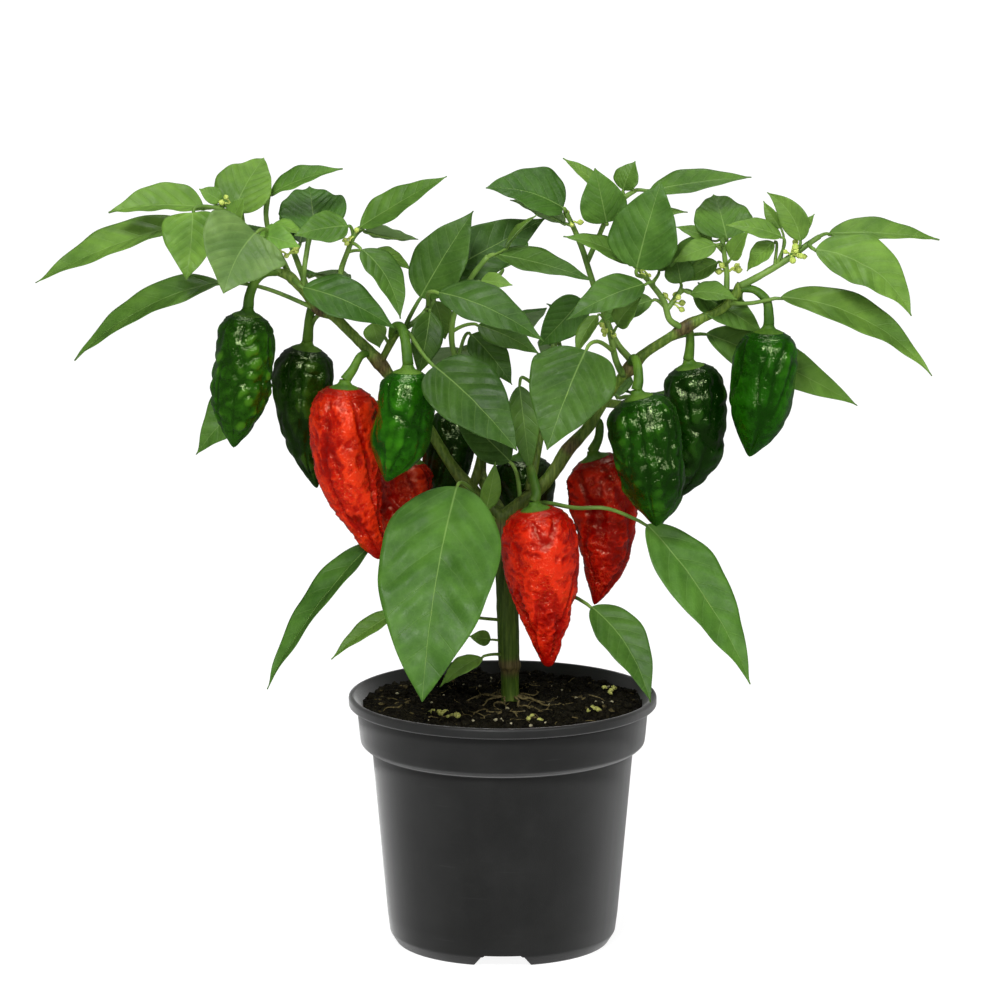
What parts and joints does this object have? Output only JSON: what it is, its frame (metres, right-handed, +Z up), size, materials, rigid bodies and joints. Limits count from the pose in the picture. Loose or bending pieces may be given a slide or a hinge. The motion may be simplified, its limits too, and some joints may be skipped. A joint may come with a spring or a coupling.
{
  "type": "potted chilli pepper plant",
  "caption": "Bushy chilli pepper plant with hanging red and green wrinkled pods and pointed leaves, growing in a round tapered black nursery pot filled with soil.",
  "frame": {"origin": "centre of the underside of the pot, on the plane it stands on", "axes": "+Z up along the pot's axis; the pictured front faces -Y; +X is to the right seen from the front"},
  "size_m": [0.3742, 0.1707, 0.3313],
  "materials": {
    "pot_plastic": "satin black moulded plastic",
    "soil_mix": "moist dark peat mix with pale perlite and bark bits",
    "stem": "smooth green to brown woody bark",
    "red_pod": "glossy wrinkled red skin",
    "green_pod": "glossy bright green skin",
    "dark_pod": "glossy dark green skin",
    "foliage": "semi-matt green leaf with pale veins"
  },
  "bodies": {
    "root": {"leaf_back_low_left": "foliage", "leaf_back_low_right": "foliage", "leaf_fork_left": "foliage", "leaf_fork_right": "foliage", "leaf_fork_small": "foliage", "leaf_front_large": "foliage", "leaf_left_back": "foliage", "leaf_left_dark": "foliage", "leaf_left_long": "foliage", "leaf_left_small": "foliage", "leaf_low_inner": "foliage", "leaf_low_left": "foliage", "leaf_right_back": "foliage", "leaf_right_large": "foliage", "leaf_right_long": "foliage", "leaf_right_low": "foliage", "leaf_soil_left": "foliage", "leaf_soil_small": "foliage", "pod_back_left": "red_pod", "pod_back_low": "green_pod", "pod_back_right": "green_pod", "pod_behind_fork": "dark_pod", "pod_behind_left": "dark_pod", "pod_front_red": "red_pod", "pod_left_bright": "green_pod", "pod_left_dark": "dark_pod", "pod_left_outer": "green_pod", "pod_left_red": "red_pod", "pod_left_red_back": "red_pod", "pod_right_dark": "dark_pod", "pod_right_green": "green_pod", "pod_right_outer": "green_pod", "pod_right_red": "red_pod", "pot": "pot_plastic", "soil": "soil_mix", "spray_back_far_left": "foliage", "spray_back_far_right": "foliage", "spray_back_left": "foliage", "spray_back_low": "foliage", "spray_back_middle": "foliage", "spray_back_right": "foliage", "spray_centre": "foliage", "spray_centre_left": "foliage", "spray_left_inner": "foliage", "spray_left_mid": "foliage", "spray_left_tip": "foliage", "spray_left_upper": "foliage", "spray_right_inner": "foliage", "spray_right_low": "foliage", "spray_right_mid": "foliage", "spray_right_tip": "foliage", "spray_top": "foliage", "stem": "stem"}
  },
  "joints": []
}
